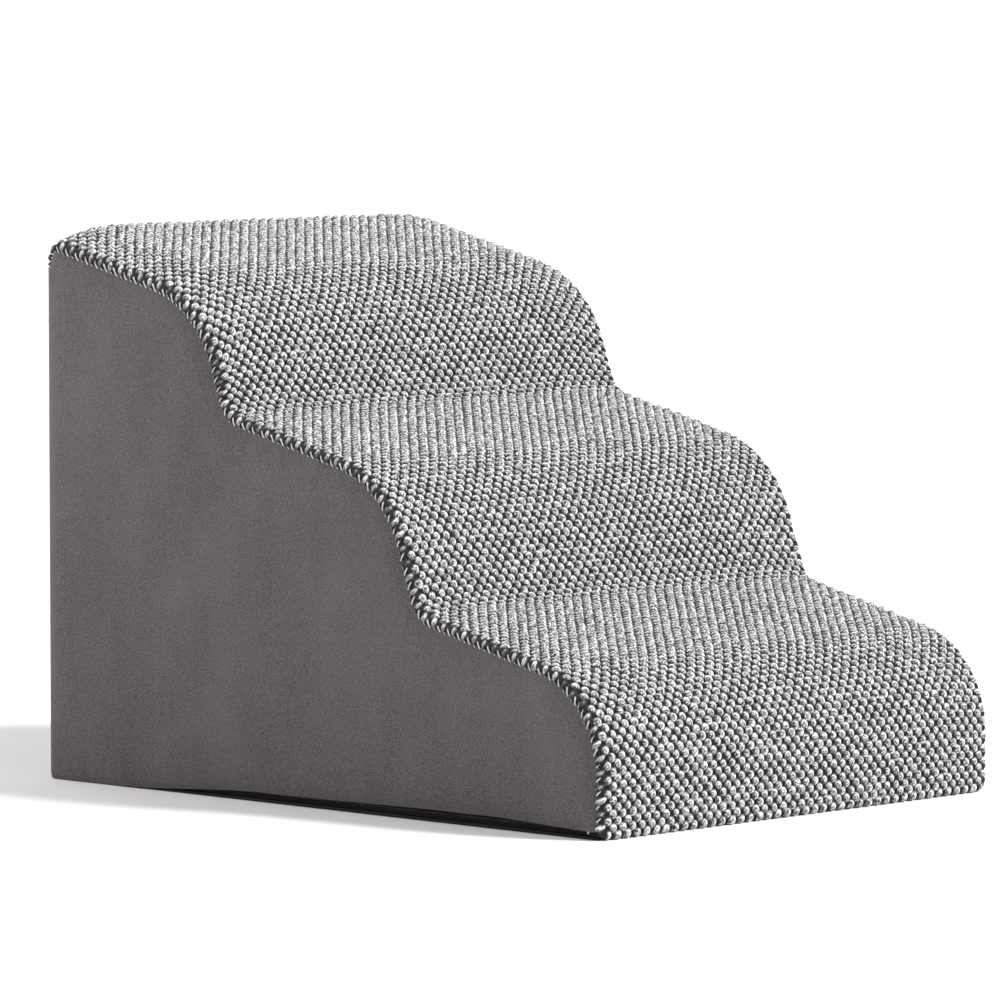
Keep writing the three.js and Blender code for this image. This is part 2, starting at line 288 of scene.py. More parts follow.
# Short fibres and soft clouds: a fine noise and a slow one, each with its own scale
def makeFibreGrain():
    tree, start, end = newGroup(
        "fibreGrain",
        [
            ("Place", "NodeSocketVector", None),
            ("Fibres per metre", "NodeSocketFloat", 900.0),
            ("Clouds per metre", "NodeSocketFloat", 9.0),
        ],
        [("Fibres", "NodeSocketFloat"), ("Clouds", "NodeSocketFloat")],
    )
    fine = addNode(tree, "ShaderNodeTexNoise", {
        "Vector": start.outputs["Place"], "Scale": start.outputs["Fibres per metre"],
        "Detail": 4.0, "Roughness": 0.78})
    slow = addNode(tree, "ShaderNodeTexNoise", {
        "Vector": start.outputs["Place"], "Scale": start.outputs["Clouds per metre"],
        "Detail": 4.0, "Roughness": 0.55})
    tree.links.new(fine.outputs["Fac"], end.inputs["Fibres"])
    tree.links.new(slow.outputs["Fac"], end.inputs["Clouds"])
    return tree


# A plain weave: two crossed sines, where the larger one is the thread on top
def makeThreads():
    tree, start, end = newGroup(
        "threads",
        [
            ("Place", "NodeSocketVector", None),
            ("Along", "NodeSocketFloat", 4000.0),
            ("Across", "NodeSocketFloat", 4000.0),
        ],
        [("Height", "NodeSocketFloat")],
    )
    parts = addNode(tree, "ShaderNodeSeparateXYZ", {0: start.outputs["Place"]})
    along = waveOf(tree, parts.outputs[0], start.outputs["Along"])
    across = waveOf(tree, parts.outputs[1], start.outputs["Across"])
    height = mathNode(tree, "MAXIMUM", along, across)
    tree.links.new(remap(tree, height, -1, 1), end.inputs["Height"])
    return tree


fibreGrain = makeFibreGrain()
threads = makeThreads()


# A material and its shader; values that are the same everywhere sit on the shader's sockets
def startMaterial(name, roughness, **fixed):
    material = bpy.data.materials.new(name)
    material.use_nodes = True
    shader = material.node_tree.nodes["Principled BSDF"]
    shader.inputs["Roughness"].default_value = roughness
    for label, value in fixed.items():
        shader.inputs[label.replace("_", " ")].default_value = value
    return material, material.node_tree, shader


def useGroup(tree, group, values):
    node = addNode(tree, "ShaderNodeGroup")
    node.node_tree = group
    for label, value in values.items():
        if isinstance(value, bpy.types.NodeSocket):
            tree.links.new(value, node.inputs[label])
        else:
            node.inputs[label].default_value = value
    return node


def placeOf(tree):
    return addNode(tree, "ShaderNodeTexCoord").outputs["Object"]


def useGrain(tree, fibres, clouds):
    return useGroup(tree, fibreGrain, {
        "Place": placeOf(tree), "Fibres per metre": fibres, "Clouds per metre": clouds})


def bumpInto(tree, shader, height, distance, strength=1.0):
    bump = addNode(tree, "ShaderNodeBump", {
        "Height": height, "Distance": distance, "Strength": strength})
    tree.links.new(bump.outputs["Normal"], shader.inputs["Normal"])


knitLook = {
    # painted shade: gap is the near-black colour painted into the deep cloth between beads
    "gap": (0.004, 0.004, 0.005, 1),
    "slit": (0.03, 0.03, 0.031, 1),
    "yarn": (0.30, 0.30, 0.31, 1),
    "lightYarn": (0.86, 0.86, 0.875, 1),
    # painted shade: dark below the first bead height, clear above the second
    "gapShadeHeights": (0.50, 0.87),      # dark below the first height on a bead, clear above the second
    "noiseStep": 61.0,
    # partly painted light: the yarn is painted lighter towards this side, where the key light comes
    # from, though the loops also lean this way
    "paintedLitSide": (0.30, 0.16, 0),
    "yarnBump": 0.0011,
}


def makeKnitMaterial():
    material, tree, shader = startMaterial(
        "popcornKnit", 0.86, Specular_IOR_Level=0.25, Sheen_Weight=0.15, Sheen_Roughness=0.6)
    place = addNode(tree, "ShaderNodeAttribute", attribute_name="beadPlace").outputs["Vector"]
    # the bead height also masks the painted gap shade
    height = addNode(tree, "ShaderNodeAttribute", attribute_name="beadShadeHeight").outputs["Fac"]
    # every bead reads its own patch of noise, because its random number moves it far along Z
    spread = addNode(tree, "ShaderNodeVectorMath", {
        0: place, 1: (1, 1, knitLook["noiseStep"])}, operation="MULTIPLY")
    warp = addNode(tree, "ShaderNodeTexNoise", {
        "Vector": spread.outputs[0], "Scale": 1.1, "Detail": 1.0})
    # rings round a centre that the noise pushes about, which read as loops of yarn
    shift = addNode(tree, "ShaderNodeVectorMath", {
        0: warp.outputs["Color"], 1: (1.5, 1.5, 0), 2: (-0.6, -0.62, 0)}, operation="MULTIPLY_ADD")
    flat = addNode(tree, "ShaderNodeVectorMath", {
        0: place, 1: (1, 1, 0), 2: shift.outputs[0]}, operation="MULTIPLY_ADD")
    rings = addNode(tree, "ShaderNodeTexWave", {
        "Vector": flat.outputs[0], "Scale": 0.48, "Distortion": 1.0, "Detail": 1.0,
        "Detail Scale": 2.0, "Phase Offset": math.pi},
        wave_type="RINGS", rings_direction="SPHERICAL")
    melange = addNode(tree, "ShaderNodeTexNoise", {
        "Vector": spread.outputs[0], "Scale": 2.6, "Detail": 2.0, "Roughness": 0.7})
    # loops lie over to one side, so that side shows more of the light yarn; partly this is painted
    # light, the side towards the key light painted lighter
    side = addNode(tree, "ShaderNodeVectorMath", {
        0: place, 1: knitLook["paintedLitSide"]}, operation="DOT_PRODUCT")
    loop = mathNode(tree, "MULTIPLY_ADD", melange.outputs["Fac"], 1.15,
                    mathNode(tree, "MULTIPLY_ADD", rings.outputs["Fac"], 0.36, -0.28))
    loop = mathNode(tree, "ADD", loop, side.outputs["Value"])
    color = mixColors(tree, remap(tree, loop, 0.16, 0.36), knitLook["slit"], knitLook["yarn"])
    color = mixColors(tree, remap(tree, loop, 0.38, 0.74), color, knitLook["lightYarn"])
    # painted shade: the deep part between beads is painted near black, as if it lay in the dark
    color = mixColors(tree, remap(tree, height, *knitLook["gapShadeHeights"]), knitLook["gap"], color)
    tree.links.new(color, shader.inputs["Base Color"])
    bumpInto(tree, shader, loop, knitLook["yarnBump"], 0.8)
    return material


knitPlan = {
    "depth": 3.0,           # base cloth below the cover's outer face
    "rows": 940,
    "columns": 424,
    "edgeRadius": 3.0,
    "edgeX": 226.6,
    "tuck": 2.4,
    "tuckFrom": (9.0, 17.0),    # no tuck before this, which leaves the zip's pull its room
    "leastTuck": 0.12,
    "beadPitch": 10.8,
    "rowPitch": 5.6,
    "beadWide": 4.85,
    "beadLong": 4.6,
    "beadHigh": 3.7,
    "domePower": (2.2, 0.55),
    "lean": (0.34, 0.16),   # beads are fuller on this side, across and along
    "lastBead": 229.0,      # beads whose centre lies further across than this are left out
    "seamBead": 223.5,      # and past this they are squeezed by the seam
    "seamSlant": 0.9,
    "seamNarrowing": 0.35,
    "seamSize": (0.84, 1.0),
    "seamHeight": (0.6, 0.9),
    "seamWander": 4,        # times as far across as the other beads
    "stitchFrom": (224.0, 226.5),
    "stitchSlant": 1.2,
    "stitchHigh": 0.32,
    "stitchPlace": (0.55, 0.3, 0.4),
    "wander": 0.14,
    "sizeSpread": 0.045,
    "heightSpread": 0.12,
    "twist": 0.7,
    "seed": 11,
    "strips": 4,
    "startY": -294.0,
    "endZ": 415.0,
    "frontFade": (2, 5),    # beads come in between these lengths from the front end
    "backFade": (3, 1),     # and go out between these distances from the back end
    "backPull": (40, 18),   # over which the beads flatten, by the share below
    "backTightness": 0.45,
    "cornerFade": (219, 224),
    "tuckFade": (1.8, 0.6),     # distances from the tuck's rim
    "pressedZ": 0.25,       # nothing hangs lower
}


# Height and place on the nearest bead: beads stand in rows, every other row moved half a pitch,
# each a dome of height (1 - r^2.2)^0.55, and the highest one wins
def beadField(across, along, plan):
    random = np.random.default_rng(plan["seed"])
    rowCount = int(along.max() / plan["rowPitch"]) + 8
    columnCount = int(np.ptp(across) / plan["beadPitch"]) + 8
    shape = (rowCount, columnCount)
    moveAcross = random.normal(0, plan["wander"], shape)
    moveAlong = random.normal(0, plan["wander"], shape)
    size = 1 + random.uniform(-plan["sizeSpread"], plan["sizeSpread"], shape)
    tall = 1 + random.uniform(-plan["heightSpread"], plan["heightSpread"], shape)
    tone = random.uniform(0, 1, shape)
    twist = random.uniform(-plan["twist"], plan["twist"], shape)
    # a column of beads stands on the middle line
    firstColumn = -(columnCount // 2) * plan["beadPitch"]
    halfSteps = (np.arange(rowCount) % 2)[:, None] / 2
    columns = firstColumn + (np.arange(columnCount) + halfSteps) * plan["beadPitch"]
    # the seam squeezes its beads and pulls them aslant
    squeezed = np.abs(columns) > plan["seamBead"]
    size = size * np.where(squeezed, random.uniform(*plan["seamSize"], shape), 1)
    tall = tall * np.where(squeezed, random.uniform(*plan["seamHeight"], shape), 1)
    moveAcross = moveAcross * np.where(squeezed, plan["seamWander"], 1)
    slant = np.where(squeezed, np.sign(columns) * plan["seamSlant"], 0)
    steep, blunt = plan["domePower"]
    height = np.zeros_like(across)
    place = np.zeros(across.shape + (3,))
    place[..., 2] = 0.5
    for rowStep in (-1, 0, 1, 2):
        row = np.floor(along / plan["rowPitch"]).astype(int) + rowStep + 3
        halfShift = (row % 2) * plan["beadPitch"] / 2
        nearest = (across - firstColumn - halfShift) / plan["beadPitch"]
        for columnStep in (0, 1):
            column = np.clip(np.floor(nearest).astype(int) + columnStep, 0, columnCount - 1)
            safeRow = np.clip(row, 0, rowCount - 1)
            pick = (safeRow, column)
            centreAcross = firstColumn + halfShift + column * plan["beadPitch"] + moveAcross[pick]
            centreAlong = (row - 3) * plan["rowPitch"] + moveAlong[pick]
            du = (across - centreAcross) / (plan["beadWide"] * size[pick])
            dv = (along - centreAlong) / (plan["beadLong"] * size[pick])
            dv = dv * (1 + plan["seamNarrowing"] * np.abs(slant[pick])) + slant[pick] * du
            reach = np.sqrt(du * du + dv * dv)
            kept = np.abs(centreAcross) < plan["lastBead"]
            fuller = 1 + plan["lean"][0] * du + plan["lean"][1] * dv
            dome = np.clip(1 - reach ** steep, 0, 1) ** blunt * fuller * tall[pick] * kept
            higher = dome > height
            height = np.where(higher, dome, height)
            turned = twist[pick]
            local = np.stack([du * np.cos(turned) - dv * np.sin(turned),
                              du * np.sin(turned) + dv * np.cos(turned), tone[pick]], axis=-1)
            place = np.where(higher[..., None], local, place)
    return height, place


# The base cloth P(s, u) = flat line + roll x (side line - flat line), then a quarter round at both
# sides, and the beads raised along its normals
def knitSurface(plan):
    flatLine = waveLine(plan["depth"], 0, plan["startY"], plan["endZ"])
    sideLine = waveLine(plan["depth"], 1, plan["startY"], plan["endZ"])
    lengths = lengthsAlong(flatLine)
    along = np.linspace(0, lengths[-1], plan["rows"])
    flatReach = plan["edgeX"] - plan["edgeRadius"]
    reach = flatReach + plan["edgeRadius"] * math.pi / 2 + plan["tuck"]
    across = np.linspace(-reach, reach, plan["columns"])
    s, u = np.meshgrid(along, across, indexing="ij")
    beyond = np.clip(np.abs(u) - flatReach, 0, None)
    angle = np.clip(beyond / plan["edgeRadius"], 0, math.pi / 2)
    x = np.sign(u) * (np.minimum(np.abs(u), flatReach) + plan["edgeRadius"] * np.sin(angle))
    inset = plan["edgeRadius"] * (1 - np.cos(angle)) + np.clip(
        beyond - plan["edgeRadius"] * math.pi / 2, 0, None)
    tucked = smoothStep(*plan["tuckFrom"], s)
    inset = inset * (plan["leastTuck"] + (1 - plan["leastTuck"]) * tucked)
    roll = rollAt(x)
    flatY, sideY, flatZ, sideZ = [
        np.interp(along, lengths, line[:, k])[:, None]
        for k in (0, 1) for line in (flatLine, sideLine)]
    y = flatY + roll * (sideY - flatY)
    z = flatZ + roll * (sideZ - flatZ)
    dy, dz = np.gradient(y, axis=0), np.gradient(z, axis=0)
    run = np.hypot(dy, dz)
    y = y + inset * dz / run
    z = z - inset * dy / run
    return np.stack([x, y, z], axis=-1), s, u


# The cross product of the two directions of the grid
def surfaceNormals(points):
    normals = np.cross(np.gradient(points, axis=1), np.gradient(points, axis=0))
    return normals / np.linalg.norm(normals, axis=-1, keepdims=True)


def makeKnit():
    plan = knitPlan
    base, s, u = knitSurface(plan)
    height, place = beadField(u, s, plan)
    end = s.max()
    # the two ends of the panel run out flat into their seams
    height = height * smoothStep(*plan["frontFade"], s)
    height = height * (1 - smoothStep(end - plan["backFade"][0], end - plan["backFade"][1], s))
    # and over the back edge the cloth is pulled tighter
    pulled = smoothStep(end - plan["backPull"][0], end - plan["backPull"][1], s)
    height = height * (1 - plan["backTightness"] * pulled)
    # no beads under the side hems' front corner, nor on the last of the tuck
    outOf = np.abs(u)
    flat = (1 - smoothStep(*plan["tuckFrom"], s)) * smoothStep(*plan["cornerFade"], outOf)
    rim = u.max()
    tuckEnd = smoothStep(rim - plan["tuckFade"][0], rim - plan["tuckFade"][1], outOf)
    height = height * (1 - flat) * (1 - tuckEnd)
    # slanted edge stitches fill the seam between its beads: a cosine along the seam, raised to 1.5
    turns = (s + plan["stitchSlant"] * outOf) / plan["rowPitch"]
    strand = (0.5 + 0.5 * np.cos(2 * math.pi * turns)) ** 1.5
    stitch = strand * smoothStep(*plan["stitchFrom"], outOf) * (1 - flat)
    onStitch = stitch * plan["stitchHigh"] > height
    place = np.where(onStitch[..., None], np.array(plan["stitchPlace"]), place)
    # shade is the bead height, or the stitch strand where that stands higher, and masks the painted
    # gap shade
    shade = np.where(onStitch, stitch, height)
    height = np.maximum(height, stitch * plan["stitchHigh"])
    points = base + surfaceNormals(base) * (height * plan["beadHigh"])[..., None]
    # the lowest beads are pressed flat by the weight on them
    points[..., 2] = np.maximum(points[..., 2], plan["pressedZ"])
    normals = surfaceNormals(points)
    material = makeKnitMaterial()
    cuts = np.linspace(0, plan["rows"] - 1, plan["strips"] + 1).astype(int)
    for index, (first, last) in enumerate(zip(cuts[:-1], cuts[1:])):
        part = slice(first, last + 1)
        rows = last + 1 - first
        name = ("knitFront", "knitLowerSteps", "knitUpperSteps", "knitTop")[index]
        faces = gridFaces(rows, plan["columns"])
        piece = makePiece(name, points[part].reshape(-1, 3), faces, [material])
        piece.data.attributes.new("beadShadeHeight", "FLOAT", "POINT").data.foreach_set(
            "value", shade[part].ravel().astype(np.float32))
        piece.data.attributes.new("beadPlace", "FLOAT_VECTOR", "POINT").data.foreach_set(
            "vector", place[part].ravel().astype(np.float32))
        piece.data.normals_split_custom_set_from_vertices(normals[part].reshape(-1, 3).tolist())
        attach(piece, bodyRamp)
        if index == 0:
            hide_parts("tread_panel")
    highest = round(float(points[..., 2].max()), 1)
    print("knit:", plan["strips"], "strips, highest point", highest, "mm")


makeKnit()


suedeLook = {
    "dark": (0.042, 0.037, 0.038, 1),
    "light": (0.163, 0.146, 0.150, 1),
    "worn": (0.156, 0.138, 0.137, 1),
    "fibresPerMetre": 900.0,
    "cloudsPerMetre": 7.0,
    "fibreContrast": 3.2,
    "streakContrast": 0.4,
    "grainBump": 0.0005,
}


def makeSuedeMaterial():
    material, tree, shader = startMaterial(
        "warmSuede", 0.92, Specular_IOR_Level=0.12, Sheen_Weight=0.25, Sheen_Roughness=0.45)
    place = placeOf(tree)
    grain = useGroup(tree, fibreGrain, {
        "Place": place, "Fibres per metre": suedeLook["fibresPerMetre"],
        "Clouds per metre": suedeLook["cloudsPerMetre"]})
    # brushed streaks: the same clouds, stretched downwards
    stretched = addNode(tree, "ShaderNodeMapping", {"Vector": place, "Scale": (1, 1, 0.4)})
    streak = useGroup(tree, fibreGrain, {
        "Place": stretched.outputs[0], "Fibres per metre": 95.0, "Clouds per metre": 26.0})
    tone = mathNode(
        tree, "MULTIPLY_ADD", grain.outputs["Fibres"], suedeLook["fibreContrast"],
        mathNode(tree, "MULTIPLY_ADD", streak.outputs["Clouds"], suedeLook["streakContrast"], -1.3))
    share = remap(tree, tone, 0.05, 0.95, kind="LINEAR")
    color = mixColors(tree, share, suedeLook["dark"], suedeLook["light"])
    rubbed = remap(tree, grain.outputs["Clouds"], 0.45, 0.85, 0, 0.5)
    color = mixColors(tree, rubbed, color, suedeLook["worn"])
    tree.links.new(color, shader.inputs["Base Color"])
    dull = remap(tree, streak.outputs["Clouds"], 0.2, 0.8, 0.86, 0.97)
    tree.links.new(dull, shader.inputs["Roughness"])
    bumpInto(tree, shader, grain.outputs["Fibres"], suedeLook["grainBump"], 0.7)
    return material


suedePlan = {
    "outerX": 228.5,
    "backFace": 308.0,
    "cornerInset": 1.6,     # side and back sheets stop this far short of each other's face
    "seamInset": 5.3,
    "frontY": -303.2,
    "frontClear": 60.0,     # the seam starts above this height
    "coverBackY": 303.2,
    "backSeam": 417.2,
    "turnIn": 2.2,          # how far the sheet bends in at its borders, and over what width
    "turnWidth": 6.0,
    "hemTurn": (1.4, 3.0),  # the same for the hem: depth and width
    "rows": 84,
    "backColumns": 116,
    "step": 4.0,
    "hem": 11.1,
    "restHem": 0.7,         # the left hem touches down at the back and arches up to the front
    "firstRise": (7.4, 55, 228),    # height, and the stretch of Y over which it comes
    "secondRise": (1.7, -140, 30),
    "frontDip": (3.2, -300, -190),
    "pucker": 0.48,
    "puckerReach": 11.0,
    "puckerWave": 23.0,
    "puff": 2.4,
    "pinned": (5, 3, 5),    # held within these distances of the seam, the ends and the hem
    "frames": 20,
    "pull": 5.0,
    "thickness": 1.2,
    "seed": 5,
}


# The left hem: rest height plus two smooth rises towards the front, less a dip at the front end
def leftHem(y):
    plan = suedePlan
    first, second, dip = [
        size * (1 - smoothStep(low, high, y))
        for size, low, high in (plan["firstRise"], plan["secondRise"], plan["frontDip"])]
    return plan["restHem"] + first + second - dip


# The same line with points about one step apart
def resample(points, step):
    lengths = lengthsAlong(points)
    at = np.linspace(0, lengths[-1], max(int(lengths[-1] / step), 2) + 1)
    return np.stack([np.interp(at, lengths, points[:, k]) for k in range(points.shape[1])], axis=1)


# Where the seam runs: the wave under the knit at the side, from the front wall to the back
def sideColumns():
    plan = suedePlan
    line = waveLine(plan["seamInset"], 1, -290, plan["backSeam"])
    aboveFront = (line[:, 0] > plan["frontY"] + 0.4) & (line[:, 1] > plan["frontClear"])
    line = line[aboveFront & (line[:, 0] < plan["coverBackY"] - 0.05)]
    start = np.array([[plan["frontY"], line[0, 1] - 6.0]])
    line = resample(np.concatenate([start, line]), plan["step"])
    heelY = np.array([plan["coverBackY"] + 0.3, 305.0, plan["backFace"] - plan["cornerInset"]])
    return np.concatenate([line, np.column_stack([heelY, np.full(3, plan["backSeam"])])])


# Distance from each point to the nearest border point, in one table
def nearestDistance(points, border):
    return np.min(np.linalg.norm(points[:, None, :] - border[None, :, :], axis=2), axis=1)


# A smooth seeded wander along one border: a few sines with random phases
def waveNoise(length, wavelength, random):
    at = np.linspace(0, 1, length) * length * suedePlan["step"]
    total = np.zeros(length)
    for share in (1.0, 1.7, 2.9):
        total += np.sin(2 * math.pi * at * share / wavelength + random.uniform(0, 6.3)) / share
    return total / 1.6


clothSettings = {
    "quality": 6,
    "mass": 0.25,
    "tension_stiffness": 25,
    "compression_stiffness": 25,
    "shear_stiffness": 8,
    "bending_stiffness": 0.6,
    "shrink_min": -0.004,
}


# Cloth with a pinned border, pushed outwards for a few frames. Each move m is squeezed under the
# cap by cap x tanh(m / cap), and a move inwards is dropped
def settleSheet(piece, pins, direction):
    plan = suedePlan
    scene = bpy.context.scene
    group = piece.vertex_groups.new(name="border")
    group.add([int(i) for i in pins], 1.0, "REPLACE")
    cloth = piece.modifiers.new("settle", "CLOTH")
    for label, value in clothSettings.items():
        setattr(cloth.settings, label, value)
    cloth.settings.vertex_group_mass = "border"
    cloth.collision_settings.use_collision = False
    cloth.collision_settings.use_self_collision = False
    scene.gravity = Vector(direction) * plan["pull"] + Vector((0, 0, -1.5))
    for number in range(1, plan["frames"] + 1):
        scene.frame_set(number)
    seen = piece.evaluated_get(bpy.context.evaluated_depsgraph_get())
    count = len(piece.data.vertices)
    rest, moved = np.zeros(count * 3), np.zeros(count * 3)
    piece.data.vertices.foreach_get("co", rest)
    seen.data.vertices.foreach_get("co", moved)
    piece.modifiers.remove(cloth)
    piece.vertex_groups.remove(group)
    scene.frame_set(1)
    move = (moved - rest).reshape(-1, 3)
    size = np.linalg.norm(move, axis=1, keepdims=True)
    cap = plan["puff"] * mm
    squeezed = move * np.where(size > 1e-9, cap * np.tanh(size / cap) / np.maximum(size, 1e-9), 0)
    outward = squeezed @ np.array(direction)
    squeezed[outward < 0] = 0
    piece.data.vertices.foreach_set("co", (rest.reshape(-1, 3) + squeezed).ravel())
    piece.data.update()
    largest = float(np.linalg.norm(squeezed, axis=1).max()) / mm
    print(piece.name, "settled, largest move", round(largest, 2), "mm")


# Columns run from hem to seam in flat coordinates (a, b). Near every border the sheet bends in by
# turnIn x (1 - distance / turnWidth)^2, and along the seam it puckers, fading as exp(-distance)
def suedeSheet(name, tops, hems, toWorld, direction, material, nodeName, flipped):
    plan = suedePlan
    random = np.random.default_rng(plan["seed"] + len(name))
    share = np.linspace(0, 1, plan["rows"])
    a = np.repeat(tops[:, 0][:, None], plan["rows"], axis=1)
    b = hems[:, None] + share[None, :] * (tops[:, 1] - hems)[:, None]
    flat = np.stack([a, b], axis=-1).reshape(-1, 2)
    seam = resample(tops, 2.0)
    hemLine = np.stack([tops[:, 0], hems], axis=1)
    toSeam = nearestDistance(flat, seam)
    toEnds = np.minimum(flat[:, 0] - tops[0, 0], tops[-1, 0] - flat[:, 0])
    toHem = nearestDistance(flat, resample(hemLine, 2.0))
    bend = plan["turnIn"] * np.clip(1 - np.minimum(toSeam, toEnds) / plan["turnWidth"], 0, 1) ** 2
    hemDepth, hemWidth = plan["hemTurn"]
    bend += hemDepth * np.clip(1 - toHem / hemWidth, 0, 1) ** 2
    ripple = np.repeat(waveNoise(len(tops), plan["puckerWave"], random), plan["rows"])
    nearSeam = np.exp(-toSeam / plan["puckerReach"]) * smoothStep(0, 6, np.minimum(toSeam, toEnds))
    depth = bend - plan["pucker"] * ripple * nearSeam
    piece = makePiece(name, toWorld(flat[:, 0], flat[:, 1], depth),
                      gridFaces(len(tops), plan["rows"], flipped=flipped), [material])
    border = np.zeros((len(tops), plan["rows"]), bool)
    border[[0, -1], :] = True
    border[:, [0, -1]] = True
    seamPin, endPin, hemPin = plan["pinned"]
    near = (toSeam < seamPin) | (toEnds < endPin) | (toHem < hemPin) | border.ravel()
    settleSheet(piece, np.flatnonzero(near), direction)
    solid = piece.modifiers.new("thickness", "SOLIDIFY")
    solid.thickness = plan["thickness"] * mm
    solid.offset = -1
    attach(piece, bodyRamp)
    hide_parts(nodeName)
    print(name, "made,", len(piece.data.polygons), "faces")


def makeSuede():
    plan = suedePlan
    material = makeSuedeMaterial()
    columns = sideColumns()
    x = plan["outerX"]
    suedeSheet(
        "leftSuede", columns, leftHem(columns[:, 0]),
        lambda a, b, d: np.stack([d - x, a, b], axis=1),
        (-1, 0, 0), material, "left_side_panel", False)
    suedeSheet(
        "rightSuede", columns, np.full(len(columns), plan["hem"]),
        lambda a, b, d: np.stack([x - d, a, b], axis=1),
        (1, 0, 0), material, "right_side_panel", True)
    reach = plan["outerX"] - plan["cornerInset"]
    span = np.linspace(-reach, reach, plan["backColumns"])
    tops = np.stack([span, np.full(len(span), plan["backSeam"])], axis=1)
    backHem = plan["restHem"] + (plan["hem"] - plan["restHem"]) * smoothStep(-reach, -90, span)
    suedeSheet(
        "backSuede", tops, backHem,
        lambda a, b, d: np.stack([a, plan["backFace"] - d, b], axis=1),
        (0, 1, 0), material, "back_panel", False)


makeSuede()


gripPlan = {
    "halfX": 226.0,
    "frontY": -302.6,
    "backY": 305.5,
    "top": 2.5,
    "cloth": 0.55,
    "dotPitch": 13.5,
    "dotRadius": 2.1,
    "dotSides": 10,
    "corner": 6.0,
    "rimInset": 1.2,
    "capInset": 5.0,
    "border": 10.0,         # no dots closer to the edge
}
gripLook = {
    "clothDark": (0.006, 0.006, 0.007, 1),
    "clothLight": (0.022, 0.022, 0.024, 1),
    "dust": (0.032, 0.031, 0.030, 1),
    "dotDark": (0.010, 0.010, 0.011, 1),
    "dotLight": (0.035, 0.035, 0.037, 1),
}


def makeGripMaterials():
    cloth, tree, shader = startMaterial("gripCloth", 0.88, Specular_IOR_Level=0.2)
    weave = useGroup(tree, threads, {"Place": placeOf(tree), "Along": 5200.0, "Across": 5200.0})
    grain = useGrain(tree, 700.0, 14.0)
    color = mixColors(tree, weave.outputs["Height"], gripLook["clothDark"], gripLook["clothLight"])
    dust = remap(tree, grain.outputs["Clouds"], 0.4, 0.8, 0, 0.6)
    color = mixColors(tree, dust, color, gripLook["dust"])
    tree.links.new(color, shader.inputs["Base Color"])
    bumpInto(tree, shader, weave.outputs["Height"], 0.0003)
    rubber, tree, shader = startMaterial("gripDots", 0.5, Specular_IOR_Level=0.35)
    grain = useGrain(tree, 1500.0, 40.0)
    color = mixColors(tree, grain.outputs["Clouds"], gripLook["dotDark"], gripLook["dotLight"])
    tree.links.new(color, shader.inputs["Base Color"])
    rough = remap(tree, grain.outputs["Fibres"], 0.3, 0.7, 0.4, 0.62)
    tree.links.new(rough, shader.inputs["Roughness"])
    bumpInto(tree, shader, grain.outputs["Fibres"], 0.0001)
    return cloth, rubber


def makeGrip():
    plan = gripPlan
    cloth, rubber = makeGripMaterials()
    # one closed skin: a flat underside whose rim rounds up into the top face
    lowZ, highZ, corner, rimInset = plan["cloth"], plan["top"], plan["corner"], plan["rimInset"]
    radius = (highZ - lowZ) / 2
    turn = np.linspace(0, math.pi / 2, 7)
    corners = [(plan["halfX"], plan["backY"]), (-plan["halfX"], plan["backY"]),
               (-plan["halfX"], plan["frontY"]), (plan["halfX"], plan["frontY"])]
    rim = np.concatenate([
        np.stack([x - math.copysign(corner, x) + corner * np.cos(turn + angle),
                  y - math.copysign(corner, y) + corner * np.sin(turn + angle)], axis=1)
        for angle, (x, y) in zip(np.arange(4) * math.pi / 2, corners)])
    inward = rim * np.array([-1 / plan["halfX"], -1 / plan["backY"]])
    rise = np.linspace(0, math.pi / 2, 5)
    levels = [(plan["capInset"], lowZ)]
    levels += [(rimInset * (1 - math.sin(t)), lowZ + radius * (1 - math.cos(t))) for t in rise]
    levels += [(rimInset * (1 - math.cos(t)), lowZ + radius * (1 + math.sin(t))) for t in rise[1:]]
    levels += [(plan["capInset"], highZ)]
    rings = np.concatenate([
        np.column_stack([rim + inward * inset, np.full(len(rim), z)]) for inset, z in levels])
    count = len(rim)
    faces = gridFaces(len(levels), count, closed=True).tolist()
    faces.append(list(range(count))[::-1])
    faces.append(list(range((len(levels) - 1) * count, len(levels) * count)))
    # low domes on the underside: three rings and two caps each, every other row moved half a pitch
    pitch, sides = plan["dotPitch"], plan["dotSides"]
    dotX = np.arange(plan["border"] - plan["halfX"], plan["halfX"] - plan["border"] + 2, pitch)
    dotY = np.arange(plan["frontY"] + plan["border"], plan["backY"] - plan["border"] + 2, pitch)
    dotX, dotY = np.meshgrid(dotX, dotY)
    dotX = dotX + ((np.arange(len(dotY)) % 2)[:, None] / 2 - 0.25) * pitch
    centres = np.column_stack([dotX.ravel(), dotY.ravel(), np.zeros(dotX.size)])
    angles = np.arange(sides) * 2 * math.pi / sides
    circle = np.stack([np.cos(angles), -np.sin(angles)], axis=1) * plan["dotRadius"]
    dot = np.concatenate([
        np.column_stack([circle * share, np.full(sides, z)])
        for share, z in ((1.0, lowZ + 0.02), (0.8, 0.12), (0.35, 0.0))])
    dots = (dot[None] + centres[:, None, :]).reshape(-1, 3)
    offset = (len(rings) + np.arange(len(centres)) * len(dot))[:, None]
    quads = (gridFaces(3, sides, closed=True)[None] + offset[:, :, None]).reshape(-1, 4)
    ends = np.stack([np.arange(2 * sides, 3 * sides), np.arange(sides)[::-1]])
    caps = ends[None] + offset[:, :, None]
    piece = makePiece("gripCloth", np.concatenate([rings, dots]),
                      faces + quads.tolist() + caps.reshape(-1, sides).tolist(), [cloth, rubber])
    indexes = np.zeros(len(piece.data.polygons), np.int32)
    indexes[len(faces):] = 1
    piece.data.polygons.foreach_set("material_index", indexes)
    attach(piece, bodyRamp)
    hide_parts("bottom_panel")
    print("grip cloth:", len(centres), "dots")


makeGrip()


